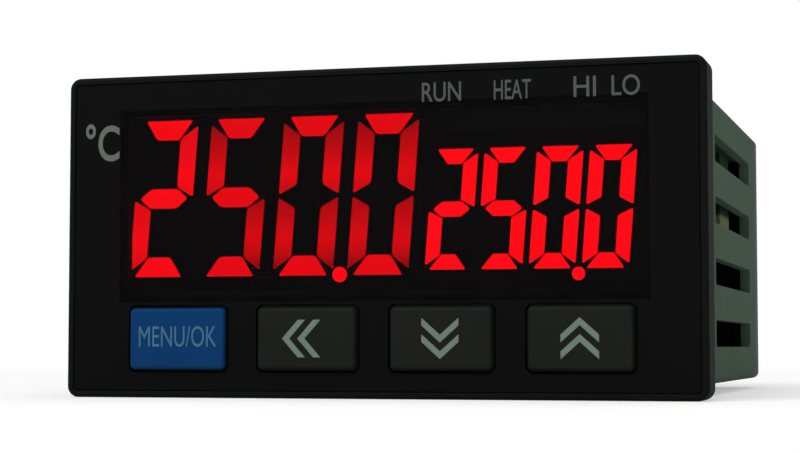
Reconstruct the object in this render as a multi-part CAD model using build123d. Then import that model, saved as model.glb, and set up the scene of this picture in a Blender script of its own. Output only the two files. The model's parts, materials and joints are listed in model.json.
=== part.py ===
from build123d import *
from dataclasses import dataclass
import math
import os

# A panel-mount temperature controller with a 96 x 48 front.
# Millimetres. X is to the right as seen from the front, Y runs back into the panel, Z is up.
# The origin is the centre of the panel seat, the plane behind the bezel flange.

# Bezel
bezel_width = 96.0
bezel_height = 48.0
bezel_depth = 6.6
bezel_corner = 1.7
bezel_edge_cut = 0.45
bezel_floor = 1.6
rim_width = 1.0
rim_rise = 0.2
flange_side = 3.0
flange_top = 1.75
floor_lap = 0.6

# Front panel and window, with the window's place from the bezel's edges
panel_thickness = 1.2
panel_groove = 0.12
window_left = 8.4
window_right = 8.2
window_top = 5.2
window_key_gap = 0.8
window_ledge = 0.8
window_joint = 0.04

# Keys, in the order set, shift, down, up from left to right
key_names = ("set", "shift", "down", "up")
key_height = 9.4
key_spacing = 4.8
key_boss_gap = 0.35
key_case_gap = 0.45
key_stand = 0.9
key_bevel = 0.7
key_corner = 0.9
key_gap = 0.25
key_wall = 1.2
key_ear_reach = 1.0
key_ear_inset = 0.9
key_ear_thickness = 0.8
key_stop_gap = 0.05
key_stem_radius = 1.6
key_rib = 0.8
key_lap = 0.6
key_travel = 0.5

# Key switches
switch_size = 6.0
switch_height = 3.5
switch_edge = 0.6
plunger_radius = 1.7
plunger_stand = 1.5
plunger_sunk = 0.9
plunger_fit = 0.06
switch_floor_gap = 0.2

# Displays: large digits on the left, small ones on the right, in the window's width
display_face_depth = 4.2
display_thickness = 8.0
display_left_lap = 0.4
display_right_gap = 2.3
display_split = 0.7
display_side_wall = 0.15
large_share = 0.599
segment_depth = 2.5
segment_gap = 0.36
digit_count = 4
digit_slant = 4.4
decimal_after = 2
display_text = "2500"
segment_names = "abcdefg"
lit_by_digit = ("abcdef", "bc", "abdeg", "abcdg", "bcfg", "acdfg", "acdefg", "abc", segment_names, "abcdfg")
large_digit_space = 2.2
large_top_gap = 1.2
large_bottom_gap = 3.8
large_side_share = 0.285
large_bar_share = 0.125
large_cut_share = 0.108
large_dot_radius = 1.15
large_dot_rise = 0.1
large_margin = 1.8
small_digit_space = 0.95
small_top_gap = 6.65
small_bottom_gap = 4.45
small_side_share = 0.311
small_bar_share = 0.126
small_cut_share = 0.111
small_dot_radius = 0.98
small_dot_rise = -0.75
small_margin = 2.6

# Legends above the small display, at these shares of its width, each lit by its own guide
legend_shares = (0.096, 0.438, 0.779, 0.964)
legend_top = 3.7
guide_width = 3.6
guide_front_height = 2.0
guide_rear_height = 2.0
guide_case_gap = 0.3
guide_gap = 0.1
led_width = 2.8
led_height = 1.6
led_thickness = 1.1

# Case
case_wall = 1.8
case_corner = 1.2
case_back = 90.0
case_seat = 1.4
case_seat_gap = 0.15

# Vent slots in the case's sides
slot_height = 4.15
slot_edge_gap = 5.75
slot_front = 28.0
slot_back_gap = 10.0
slot_count = 4
slot_corner_cut = 0.4

# Vents and bracket slots in the case's top and bottom
top_vent_count = 9
top_vent_pitch = 7.2
top_vent_width = 2.4
top_vent_length = 24.0
top_vent_back_gap = 20.0
hook_slot_width = 8.0
hook_slot_length = 2.6
hook_slot_spacing = 26.0
hook_slot_y = 24.0

# Gasket
gasket_thickness = 1.0
gasket_width = 1.0
gasket_sink = 0.6
gasket_gap = 0.1

# Bezel tongues that snap into the case
tongue_thickness = 1.3
tongue_height = 7.0
tongue_inset = 11.45
tongue_end = 17.0
tongue_gap = 0.25
hook_reach = 0.9
hook_length = 2.4
hook_window_gap = 0.25

# Front board and the screws that hold it
board_thickness = 1.6
display_board_margin = 0.35
display_board_notch_gap = 0.4
boss_radius = 1.9
boss_pilot_radius = 0.9
board_screw_head_radius = 1.9
board_screw_head = 1.3
board_screw_length = 5.5
board_screw_gap = 0.05
board_hole_radius = 1.2

# Inner boards, their guide ribs in the case and their connectors
inner_board_front_gap = 4.8
inner_board_end_gap = 0.3
inner_board_inset = 2.85
inner_board_side_gap = 0.3
guide_rib = 1.4
guide_rib_reach = 1.5
guide_rib_length = 12.0
guide_rib_gap = 0.12
guide_rib_lap = 0.9
connector_length = 25.4
connector_height = 2.5
connector_reach = 8.0

# Film capacitor and varistor beside the mains terminals
film_width = 6.0
film_length = 13.0
film_height = 14.5
film_wall_gap = 1.2
film_back_gap = 9.7
film_edge = 0.5
varistor_radius = 5.0
varistor_thickness = 3.4
varistor_film_gap = 7.3
varistor_back_gap = 1.7
lead_size = 0.7
lead_stand = 1.0

# Transformer
transformer_side_gap = 11.3
transformer_back_gap = 17.2
transformer_stand = 0.6
core_length = 19.0
core_height = 14.4
core_thickness = 8.0
core_leg = 3.2
core_middle_leg = 5.0
coil_overhang = 3.9
coil_gap = 0.15
coil_corner = 2.0
coil_pin_side_inset = 0.8
coil_pin_end_inset = 1.2

# Relays and smoothing capacitors
relay_width = 10.2
relay_length = 20.2
relay_height = 13.6
relay_pitch = 13.0
relay_side_gap = 6.1
relay_back_gap = 7.6
relay_edge = 0.8
relay_count = 3
capacitor_radius = 5.0
capacitor_height = 14.0
capacitor_spacing = 1.6
capacitor_first_x = -4.0
capacitor_relay_gap = 10.9
capacitor_count = 2
capacitor_edge = 0.5

# Parts on the main board and on the back of the front board
processor_size = 12.0
processor_height = 1.4
processor_chip_spacing = 22.0
processor_edge = 0.3
chip_width = 4.0
chip_length = 5.0
chip_height = 1.5
chip_edge = 0.25
chip_count = 4
chip_spacing = 15.0
chip_back_gap = 13.7
crystal_length = 11.0
crystal_width = 4.6
crystal_height = 3.4
crystal_gap = 7.7
driver_chip_length = 10.0
driver_chip_spacing = 34.0
driver_chip_z = 4.0

# Terminals
terminal_pitch = 8.2
terminal_side_gap = 3.0
barrier_thickness = 1.2
barrier_height = 4.0
block_flange = 4.0
block_plate = 2.0
block_plug_depth = 6.0
block_plug_wall = 1.6
block_plug_gap = 0.15
ridge_screw_gap = 4.1
clamp_thickness = 1.0
clamp_side_gap = 0.3
clamp_inner_lap = 2.25
clamp_outer_lap = 2.65
tail_width = 2.4
tail_thickness = 0.8
tail_lap = 3.5
tail_gap = 0.1
screw_tail_spacing = 3.5
screw_side_gap = 0.7
screw_head_height = 2.0
screw_shank_radius = 1.5
screw_shank_length = 4.5
screw_gap = 0.1
latch_set_back = 1.0
latch_width = 9.0
latch_spacing = 44.0
latch_length = 2.2
latch_reach = 0.9
latch_gap = 0.2

# Round sections of small parts are drawn with this many sides
round_sides = 12
hidden_round_sides = 6

# Case section, and the half sizes of its inside
case_width = bezel_width - 2 * flange_side
case_height = bezel_height - 2 * flange_top
inner_half_width = case_width / 2 - case_wall
inner_half_height = case_height / 2 - case_wall

# Planes along the depth
face_y = -bezel_depth
panel_front = face_y + rim_rise
panel_back = panel_front + panel_thickness
floor_back = panel_back + bezel_floor
case_front = -case_seat
display_front = face_y + display_face_depth
board_front = display_front + display_thickness
board_back = board_front + board_thickness
switch_front = board_front - switch_height
plunger_tip = switch_front - plunger_stand
key_front = panel_front - key_stand
ear_front = floor_back + key_stop_gap
ear_back = ear_front + key_ear_thickness
plug_front = case_back - block_plug_depth
latch_front = plug_front + latch_set_back
inner_board_front = board_back + inner_board_front_gap
inner_board_back = plug_front - inner_board_end_gap
block_back = case_back + block_flange
barrier_back = block_back + barrier_height

# Screw bosses in the corners, and the row of keys between them
boss_x = inner_half_width - tongue_gap - boss_radius
boss_z = inner_half_height - tongue_gap - boss_radius
boss_places = ((-boss_x, -boss_z), (boss_x, -boss_z), (boss_x, boss_z))
key_count = len(key_names)
key_row_half = boss_x - boss_radius - key_boss_gap - key_ear_reach
key_width = (2 * key_row_half - (key_count - 1) * key_spacing) / key_count
key_pitch = key_width + key_spacing
key_row_z = -inner_half_height + key_case_gap + key_height / 2

# Window, between the keys and the bezel's top
window_width = bezel_width - window_left - window_right
window_top_z = bezel_height / 2 - window_top
window_bottom_z = key_row_z + key_height / 2 + window_key_gap
window_height = window_top_z - window_bottom_z
window_x = (window_left - window_right) / 2
window_z = (window_top_z + window_bottom_z) / 2

# Widths and left ends of the two displays
displays_width = window_width + display_left_lap - display_right_gap - display_split
large_width = large_share * displays_width
small_width = displays_width - large_width
large_left = -bezel_width / 2 + window_left - display_left_lap
small_left = large_left + large_width + display_split

# How far the digits lean to the right for each unit of their height
digit_lean = math.tan(math.radians(digit_slant))

# Legends and the lights behind them
legend_x = [small_left + share * small_width for share in legend_shares]
legend_z = bezel_height / 2 - legend_top
led_z = inner_half_height - guide_case_gap - guide_rear_height / 2

# Heights of the tongues, of the inner boards and of the faces that carry their parts
tongue_z = inner_half_height - tongue_inset
inner_board_z = inner_half_height - inner_board_inset
board_carry_z = inner_board_z - board_thickness / 2

# Terminal columns and the heights of their tails, screws and middle ridge
terminal_room = case_width - 2 * terminal_side_gap - barrier_thickness
terminal_columns = math.floor(terminal_room / terminal_pitch)
tail_z = board_carry_z - tail_thickness / 2
screw_z = tail_z - screw_tail_spacing
screw_head_radius = (terminal_pitch - barrier_thickness) / 2 - screw_side_gap
ridge_half = screw_z - screw_head_radius - ridge_screw_gap


@dataclass
class DisplaySize:
    """The sizes of one display's digits, and the middle of its row."""

    width: float
    height: float
    pitch: float
    side: float
    bar: float
    cut: float
    dot_radius: float
    dot_rise: float
    margin: float
    x: float
    z: float


def slab(profile, front, back):
    """Extrudes a profile, drawn as seen from the front, between two depths."""
    return extrude(Plane.XZ.offset(-back) * profile, back - front)


def small_round(radius):
    """A small round section, as a polygon."""
    return RegularPolygon(radius, round_sides)


def hidden_round(radius):
    """A small round section that lies under another piece, as a plainer polygon."""
    return RegularPolygon(radius, hidden_round_sides)


def cut_rectangle(width, height, cut):
    """A rectangle with its corners cut off."""
    return chamfer(Rectangle(width, height).vertices(), cut)


def blunt_rectangle(width, height, radius):
    """A rectangle whose corners are cut off flat, just outside a rounding of that radius."""
    return cut_rectangle(width, height, radius * (2 - math.sqrt(2)))


def key_x(index):
    """The middle of a key along X."""
    return (index - (key_count - 1) / 2) * key_pitch


def key_outline(index, margin):
    """A key's outline on the front, grown by a margin."""
    outline = blunt_rectangle(key_width + 2 * margin, key_height + 2 * margin, key_corner + margin)
    return Pos(key_x(index), key_row_z) * outline


def key_rectangle(index, margin):
    """The square-cornered rectangle round a key, grown by a margin."""
    return Pos(key_x(index), key_row_z) * Rectangle(key_width + 2 * margin, key_height + 2 * margin)


def window_outline(margin):
    """The window's outline on the front, grown by a margin."""
    return Pos(window_x, window_z) * Rectangle(window_width + 2 * margin, window_height + 2 * margin)


def guide_outline(x, margin):
    """The front end of a light guide, grown by a margin."""
    return Pos(x, legend_z) * Rectangle(guide_width + 2 * margin, guide_front_height + 2 * margin)


def tongue_solid(side, top):
    """One snap tongue with its hook, on the side and level given by two signs."""
    outer = inner_half_width - tongue_gap
    inner = outer - tongue_thickness
    root = floor_back - floor_lap
    hook_front = tongue_end - hook_length
    shape = Polygon(
        (inner, root),
        (outer, root),
        (outer, hook_front),
        (outer + hook_reach, hook_front),
        (outer, tongue_end),
        (inner, tongue_end),
        align=None,
    )
    tongue = extrude(shape, tongue_height / 2, both=True)
    tongue = Pos(0, 0, top * tongue_z) * tongue
    return tongue if side > 0 else mirror(tongue, about=Plane.YZ)


def bezel_shell():
    """The frame with its rim, its floor, the cavity behind it and the gasket's groove."""
    body = slab(RectangleRounded(bezel_width, bezel_height, bezel_corner), face_y, 0)
    body = chamfer(body.faces().sort_by(Axis.Y)[0].edges(), bezel_edge_cut)
    pocket_width = bezel_width - 2 * rim_width
    pocket_height = bezel_height - 2 * rim_width
    pocket = blunt_rectangle(pocket_width, pocket_height, bezel_corner - rim_width)
    body -= slab(pocket, face_y, panel_back)
    body -= slab(Rectangle(2 * inner_half_width, 2 * inner_half_height), floor_back, 0)
    seat = Rectangle(case_width + 2 * case_seat_gap, case_height + 2 * case_seat_gap)
    body -= slab(seat, case_front, 0)
    groove = 2 * (gasket_gap + gasket_width + gasket_gap)
    groove_outline = blunt_rectangle(case_width + groove, case_height + groove, case_corner + gasket_width)
    return body - slab(groove_outline, -gasket_sink, 0)


def make_front_bezel():
    """The bezel, with its openings, its snap tongues and the bosses for the front board."""
    body = bezel_shell()
    body -= slab(window_outline(-window_ledge), panel_back, floor_back)
    for index in range(key_count):
        body -= slab(key_rectangle(index, key_gap), panel_back, floor_back)
    for x in legend_x:
        body -= slab(guide_outline(x, guide_gap), panel_back, floor_back)
    for side in (-1, 1):
        for top in (-1, 1):
            body += tongue_solid(side, top)
    for x, z in boss_places:
        body += slab(Pos(x, z) * small_round(boss_radius), floor_back - floor_lap, board_front)
        pilot = Pos(x, z) * hidden_round(boss_pilot_radius)
        body -= slab(pilot, board_front - board_screw_length, board_front)
    return body


def make_front_panel():
    """The printed plate, with its openings for the window and the keys."""
    inset = rim_width + panel_groove
    outline = blunt_rectangle(bezel_width - 2 * inset, bezel_height - 2 * inset, bezel_corner - inset)
    outline -= window_outline(window_joint)
    for index in range(key_count):
        outline -= key_outline(index, key_gap)
    return slab(outline, panel_front, panel_back)


def make_display_window():
    """The smoked filter, on its ledge and flush with the panel."""
    return slab(window_outline(0), panel_front, panel_back)


def make_panel_gasket():
    """The sealing ring in the bezel's rear groove, proud of it until clamped."""
    inner_width = case_width + 2 * gasket_gap
    inner_height = case_height + 2 * gasket_gap
    outer_width = inner_width + 2 * gasket_width
    outer_height = inner_height + 2 * gasket_width
    ring = blunt_rectangle(outer_width, outer_height, case_corner + gasket_width)
    ring -= blunt_rectangle(inner_width, inner_height, case_corner)
    return slab(ring, -gasket_sink, gasket_thickness - gasket_sink)


def side_slots():
    """The vent slots, running through both sides of the case."""
    length = case_back - slot_back_gap - slot_front
    pitch = (case_height - 2 * slot_edge_gap - slot_height) / (slot_count - 1)
    outline = cut_rectangle(length, slot_height, slot_corner_cut)
    places = GridLocations(0, pitch, 1, slot_count)
    slots = extrude(Plane.YZ * (Sketch() + places * outline), case_width, both=True)
    return Pos(0, slot_front + length / 2, 0) * slots


def top_openings():
    """Vents and bracket slots, running through the top and the bottom of the case."""
    vent = Rectangle(top_vent_width, top_vent_length)
    vents = Sketch() + GridLocations(top_vent_pitch, 0, top_vent_count, 1) * vent
    hook = Rectangle(hook_slot_width, hook_slot_length)
    hooks = Sketch() + GridLocations(hook_slot_spacing, 0, 2, 1) * hook
    vent_y = case_back - top_vent_back_gap - top_vent_length / 2
    openings = Pos(0, vent_y) * vents + Pos(0, hook_slot_y) * hooks
    return extrude(openings, case_height, both=True)


def hook_windows():
    """Windows for the bezel's tongues, in both sides of the case."""
    front = tongue_end - hook_length - hook_window_gap
    back = tongue_end + hook_window_gap
    outline = Rectangle(back - front, tongue_height + 2 * hook_window_gap)
    pair = Sketch() + GridLocations(0, 2 * tongue_z, 1, 2) * outline
    windows = extrude(Plane.YZ * pair, case_width, both=True)
    return Pos(0, (front + back) / 2, 0) * windows


def latch_windows():
    """Windows for the terminal block's latches, in the top and the bottom of the case."""
    front = latch_front - latch_gap
    back = latch_front + latch_length + latch_gap
    outline = Rectangle(latch_width + 2 * latch_gap, back - front)
    pair = Sketch() + GridLocations(latch_spacing, 0, 2, 1) * outline
    windows = extrude(pair, case_height, both=True)
    return Pos(0, (front + back) / 2, 0) * windows


def guide_ribs():
    """Pairs of ribs on the case's sides that hold the two inner boards."""
    outer = inner_half_width + guide_rib_lap
    inner = inner_half_width - guide_rib_reach
    gap = board_thickness / 2 + guide_rib_gap
    front = inner_board_front + board_thickness
    ribs = []
    for side in (-1, 1):
        for level in (-inner_board_z, inner_board_z):
            for away in (-1, 1):
                middle = level + away * (gap + guide_rib / 2)
                rib = Box(outer - inner, guide_rib_length, guide_rib)
                ribs.append(Pos(side * (outer + inner) / 2, front + guide_rib_length / 2, middle) * rib)
    return ribs


def make_rear_case():
    """The sleeve round the boards, open in front and behind."""
    section = RectangleRounded(case_width, case_height, case_corner)
    section -= Rectangle(2 * inner_half_width, 2 * inner_half_height)
    case = slab(section, case_front, case_back)
    case += guide_ribs()
    case -= side_slots()
    case -= top_openings()
    case -= hook_windows()
    case -= latch_windows()
    return case


def make_key(index):
    """A keycap: a bevelled shell with an ear on each side behind the floor, and a ribbed stem."""
    middle = Pos(key_x(index), key_row_z)
    cap = slab(key_outline(index, 0), key_front, ear_back)
    cap = chamfer(cap.faces().sort_by(Axis.Y)[0].edges(), key_bevel)
    ears = Rectangle(key_width + 2 * key_ear_reach, key_height - 2 * key_ear_inset)
    cap += slab(middle * ears, ear_front, ear_back)
    cap -= slab(key_rectangle(index, -key_wall), key_front + key_wall, ear_back)
    cross = Rectangle(key_width - 2 * key_lap, key_rib) + Rectangle(key_rib, key_height - 2 * key_lap)
    cap += slab(middle * cross, key_front + key_lap, floor_back)
    cap += slab(middle * small_round(key_stem_radius), key_front + key_lap, plunger_tip)
    return cap


def make_plunger(index):
    """The part of the switch that the key presses."""
    outline = Pos(key_x(index), key_row_z) * small_round(plunger_radius)
    return slab(outline, plunger_tip, switch_front + plunger_sunk)


def make_key_switch_housings():
    """The four switch bodies on the front board."""
    housings = []
    depth = plunger_sunk + key_travel + switch_floor_gap
    outline = cut_rectangle(switch_size, switch_size, switch_edge)
    for index in range(key_count):
        middle = Pos(key_x(index), key_row_z)
        body = slab(middle * outline, switch_front, board_front)
        bore = middle * small_round(plunger_radius + plunger_fit)
        housings.append(body - slab(bore, switch_front, switch_front + depth))
    return Compound(housings)


def large_display():
    """The sizes of the large display."""
    pitch = large_width / digit_count
    width = pitch - large_digit_space
    height = window_height - large_top_gap - large_bottom_gap
    return DisplaySize(
        width=width,
        height=height,
        pitch=pitch,
        side=large_side_share * width,
        bar=large_bar_share * height,
        cut=large_cut_share * width,
        dot_radius=large_dot_radius,
        dot_rise=large_dot_rise,
        margin=large_margin,
        x=large_left + large_width / 2,
        z=window_bottom_z + large_bottom_gap + height / 2,
    )


def small_display():
    """The sizes of the small display."""
    pitch = small_width / digit_count
    width = pitch - small_digit_space
    height = window_height - small_top_gap - small_bottom_gap
    return DisplaySize(
        width=width,
        height=height,
        pitch=pitch,
        side=small_side_share * width,
        bar=small_bar_share * height,
        cut=small_cut_share * width,
        dot_radius=small_dot_radius,
        dot_rise=small_dot_rise,
        margin=small_margin,
        x=small_left + small_width / 2,
        z=window_bottom_z + small_bottom_gap + height / 2,
    )


def segment_corners(name, size):
    """The corners of one segment, before the slant, round the digit's middle."""
    right = size.width / 2
    top = size.height / 2
    half_bar = size.bar / 2
    across = {
        "a": [
            (-right + size.cut, top),
            (right - size.cut, top),
            (right - size.side - segment_gap, top - size.bar),
            (-right + size.side + segment_gap, top - size.bar),
        ],
        "g": [
            (-right + size.cut, 0),
            (-right + size.side, half_bar),
            (right - size.side, half_bar),
            (right - size.cut, 0),
            (right - size.side, -half_bar),
            (-right + size.side, -half_bar),
        ],
    }
    upright = [
        (right, top - size.cut),
        (right, segment_gap),
        (right - size.side, half_bar + segment_gap),
        (right - size.side, top - size.bar),
    ]
    if name in across:
        return across[name]
    if name == "d":
        return [(x, -z) for x, z in across["a"]]
    flip_x = -1 if name in "ef" else 1
    flip_z = -1 if name in "ce" else 1
    return [(flip_x * x, flip_z * z) for x, z in upright]


def digit_x(size, place):
    """The middle of a digit along X."""
    return size.x + (place - (digit_count - 1) / 2) * size.pitch


def display_layout(size):
    """Outlines of a display's segments and dots, as two lists: lit and unlit."""
    lit = []
    unlit = []
    for place in range(digit_count):
        lit_names = lit_by_digit[int(display_text[place])]
        for name in segment_names:
            corners = segment_corners(name, size)
            points = [(digit_x(size, place) + x + z * digit_lean, size.z + z) for x, z in corners]
            outline = make_face(Polyline(*points, close=True))
            is_lit = name in lit_names
            (lit if is_lit else unlit).append(outline)
    for place in range(digit_count - 1):
        dot_x = digit_x(size, place) + size.pitch / 2 - size.height / 2 * digit_lean
        dot = Pos(dot_x, size.z - size.height / 2 + size.dot_rise) * small_round(size.dot_radius)
        (lit if place == decimal_after else unlit).append(dot)
    return lit, unlit


def make_display(size):
    """A display's housing, its lit segments and its unlit segments."""
    lit, unlit = display_layout(size)
    row_width = (digit_count - 1) * size.pitch + size.width + size.height * digit_lean
    outline = Rectangle(row_width + 2 * display_side_wall, size.height + 2 * size.margin)
    housing = slab(Pos(size.x, size.z) * outline, display_front, board_front)
    back = display_front + segment_depth
    lit_solids = [slab(outline, display_front, back) for outline in lit]
    unlit_solids = [slab(outline, display_front, back) for outline in unlit]
    housing -= lit_solids + unlit_solids
    return housing, Compound(lit_solids), Compound(unlit_solids)


def make_status_leds():
    """Four small light-emitting parts on the front board."""
    leds = []
    for x in legend_x:
        outline = Pos(x, led_z) * Rectangle(led_width, led_height)
        leds.append(slab(outline, board_front - led_thickness, board_front))
    return Compound(leds)


def make_light_guides():
    """Clear guides that step down from each legend to its light."""
    guides = []
    top = legend_z + guide_front_height / 2
    low = legend_z - guide_front_height / 2
    rear_top = led_z + guide_rear_height / 2
    rear_low = led_z - guide_rear_height / 2
    back = board_front - led_thickness
    side_view = Polygon(
        (panel_back, low),
        (panel_back, top),
        (floor_back, top),
        (floor_back, rear_top),
        (back, rear_top),
        (back, rear_low),
        (floor_back, rear_low),
        (floor_back, low),
        align=None,
    )
    for x in legend_x:
        guide = extrude(Plane.YZ * side_view, guide_width / 2, both=True)
        guides.append(Pos(x, 0, 0) * guide)
    return Compound(guides)


def make_display_board():
    """The front board, notched for the tongues and drilled for its screws."""
    half_width = inner_half_width - display_board_margin
    half_height = inner_half_height - display_board_margin
    outline = Rectangle(2 * half_width, 2 * half_height)
    notch_x = inner_half_width - tongue_gap - tongue_thickness - display_board_notch_gap
    notch_height = tongue_height + 2 * display_board_notch_gap
    for side in (-1, 1):
        for top in (-1, 1):
            notch = Rectangle(half_width - notch_x, notch_height)
            outline -= Pos(side * (notch_x + half_width) / 2, top * tongue_z) * notch
    for x, z in boss_places:
        outline -= Pos(x, z) * hidden_round(board_hole_radius)
    return slab(outline, board_front, board_back)


def make_board_screws():
    """Three small screws that hold the front board to the bezel."""
    screws = []
    tip = board_front - board_screw_length + board_screw_gap
    head = small_round(board_screw_head_radius)
    shank = hidden_round(boss_pilot_radius - board_screw_gap)
    for x, z in boss_places:
        middle = Pos(x, z)
        screw = slab(middle * head, board_back, board_back + board_screw_head)
        screw += slab(middle * shank, tip, board_back)
        screws.append(screw)
    return Compound(screws)


def make_driver_chips():
    """Two display drivers on the back of the front board."""
    chips = []
    for side in (-1, 1):
        body = Rot(-90, 0, 0) * chip(driver_chip_length, chip_width, chip_height, chip_edge)
        x = side * driver_chip_spacing / 2
        chips.append(Pos(x, board_back + chip_height / 2, driver_chip_z) * body)
    return Compound(chips)


def make_inner_board(level):
    """One of the two boards that lie along the case, at a level above or below the middle."""
    length = inner_board_back - inner_board_front
    board = Box(2 * (inner_half_width - inner_board_side_gap), length, board_thickness)
    return Pos(0, (inner_board_front + inner_board_back) / 2, level) * board


def make_board_connectors():
    """Connectors between the front board and each inner board."""
    connectors = []
    for away in (-1, 1):
        body = Box(connector_length, connector_reach, connector_height)
        z = away * (board_carry_z - connector_height / 2)
        connectors.append(Pos(0, board_back + connector_reach / 2, z) * body)
    return Compound(connectors)


def hanging(solid, x, y, height, stand=0):
    """Places a part, modelled round its middle, under the power board."""
    return Pos(x, y, board_carry_z - stand - height / 2) * solid


def standing(solid, x, y, height):
    """Places a part, modelled round its middle, on the main board."""
    return Pos(x, y, -board_carry_z + height / 2) * solid


def lead(length):
    """A square lead that runs up from the middle of its part."""
    return Box(lead_size, lead_size, length, align=(Align.CENTER, Align.CENTER, Align.MIN))


def boxed_part(width, length, height, edge):
    """A boxed part with its lower edges bevelled."""
    body = Box(width, length, height)
    return chamfer(body.faces().sort_by(Axis.Z)[0].edges(), edge)


def make_transformer_core():
    """The ferrite core: a closed frame with a middle leg."""
    window_height = core_height - 2 * core_leg
    side_window = core_length / 2 - core_leg - core_middle_leg / 2
    frame = Rectangle(core_length, core_height)
    for side in (-1, 1):
        middle = side * (core_middle_leg + side_window) / 2
        frame -= Pos(middle, 0) * Rectangle(side_window, window_height)
    core = extrude(Plane.YZ * frame, core_thickness / 2, both=True)
    return hanging(core, transformer_x(), transformer_y(), core_height, transformer_stand)


def make_transformer_coil():
    """The taped winding round the core's middle leg, and its pins to the board."""
    width = core_thickness + 2 * coil_overhang
    length = core_length - 2 * core_leg - 2 * coil_gap
    height = core_height - 2 * core_leg - 2 * coil_gap
    ring = blunt_rectangle(width, length, coil_corner)
    ring -= Rectangle(core_thickness + 2 * coil_gap, core_middle_leg + 2 * coil_gap)
    coil = extrude(ring, height / 2, both=True)
    pin_length = core_height / 2 + transformer_stand - height / 2
    pin_x = (width - lead_size) / 2 - coil_pin_side_inset
    pin_y = (length - lead_size) / 2 - coil_pin_end_inset
    for x in (-pin_x, pin_x):
        for y in (-pin_y, pin_y):
            coil += Pos(x, y, height / 2) * lead(pin_length)
    return hanging(coil, transformer_x(), transformer_y(), core_height, transformer_stand)


def transformer_x():
    """The middle of the transformer along X."""
    return inner_half_width - transformer_side_gap - coil_overhang - core_thickness / 2


def transformer_y():
    """The middle of the transformer along Y."""
    return inner_board_back - transformer_back_gap - core_length / 2


def make_film_capacitor():
    """The boxed film capacitor, beside the case's right-hand slots."""
    body = boxed_part(film_width, film_length, film_height, film_edge)
    x = inner_half_width - film_wall_gap - film_width / 2
    y = inner_board_back - film_back_gap - film_length / 2
    return hanging(body, x, y, film_height)


def make_varistor():
    """The disc varistor on its two leads."""
    disc = extrude(Plane.YZ * small_round(varistor_radius), varistor_thickness / 2, both=True)
    for y in (-varistor_radius / 2, varistor_radius / 2):
        disc += Pos(0, y, 0) * lead(varistor_radius + lead_stand)
    film_left = inner_half_width - film_wall_gap - film_width
    x = film_left - varistor_film_gap - varistor_thickness / 2
    y = inner_board_back - varistor_back_gap - varistor_radius
    return hanging(disc, x, y, 2 * varistor_radius, lead_stand)


def relay_y():
    """The middle of the relays along Y."""
    return inner_board_back - relay_back_gap - relay_length / 2


def make_relays():
    """The output relays, side by side from the left."""
    relays = []
    first_x = -inner_half_width + relay_side_gap + relay_width / 2
    for index in range(relay_count):
        body = boxed_part(relay_width, relay_length, relay_height, relay_edge)
        relays.append(hanging(body, first_x + index * relay_pitch, relay_y(), relay_height))
    return Compound(relays)


def make_power_capacitors():
    """The round smoothing capacitors."""
    capacitors = []
    y = relay_y() - relay_length / 2 - capacitor_relay_gap - capacitor_radius
    for index in range(capacitor_count):
        can = extrude(small_round(capacitor_radius), capacitor_height / 2, both=True)
        can = chamfer(can.faces().sort_by(Axis.Z)[0].edges(), capacitor_edge)
        x = capacitor_first_x + index * (2 * capacitor_radius + capacitor_spacing)
        capacitors.append(hanging(can, x, y, capacitor_height))
    return Compound(capacitors)


def chip(length, width, height, edge):
    """A chip's package, with its upper edges bevelled."""
    body = Box(length, width, height)
    return chamfer(body.faces().sort_by(Axis.Z)[-1].edges(), edge)


def chip_row_y():
    """The middle of the row of chips along Y."""
    return inner_board_back - chip_back_gap


def make_processor():
    """The processor on the main board."""
    body = chip(processor_size, processor_size, processor_height, processor_edge)
    return standing(body, 0, chip_row_y() - processor_chip_spacing, processor_height)


def make_signal_chips():
    """The row of amplifier and isolator chips at the rear of the main board."""
    chips = []
    for index in range(chip_count):
        x = (index - (chip_count - 1) / 2) * chip_spacing
        body = chip(chip_width, chip_length, chip_height, chip_edge)
        chips.append(standing(body, x, chip_row_y(), chip_height))
    return Compound(chips)


def make_crystal():
    """The clock crystal beside the processor."""
    can = extrude(SlotOverall(crystal_length, crystal_width, rotation=90), crystal_height / 2, both=True)
    x = (processor_size + crystal_width) / 2 + crystal_gap
    return standing(can, x, chip_row_y() - processor_chip_spacing, crystal_height)


def terminal_places():
    """Each terminal's column along X, and 1 above the middle or -1 below it."""
    first_x = -(terminal_columns - 1) / 2 * terminal_pitch
    columns = [first_x + column * terminal_pitch for column in range(terminal_columns)]
    return [(x, away) for x in columns for away in (-1, 1)]


def latch_pair(away, seat):
    """Two ramped latches on the plug's top or bottom."""
    root = seat - block_plug_wall / 2
    ramp = Polygon(
        (latch_front, root),
        (latch_front, seat),
        (latch_front + latch_length, seat + latch_reach),
        (latch_front + latch_length, root),
        align=None,
    )
    latch = extrude(Plane.YZ * ramp, latch_width / 2, both=True)
    pair = [Pos(x, 0, 0) * latch for x in (-latch_spacing / 2, latch_spacing / 2)]
    return pair if away > 0 else [mirror(piece, about=Plane.XY) for piece in pair]


def barrier_comb():
    """The middle ridge and the barriers between the terminals, as one outline."""
    comb = Rectangle(terminal_columns * terminal_pitch + barrier_thickness, 2 * ridge_half)
    walls = GridLocations(terminal_pitch, 0, terminal_columns + 1, 1)
    return comb + walls * Rectangle(barrier_thickness, case_height)


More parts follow.
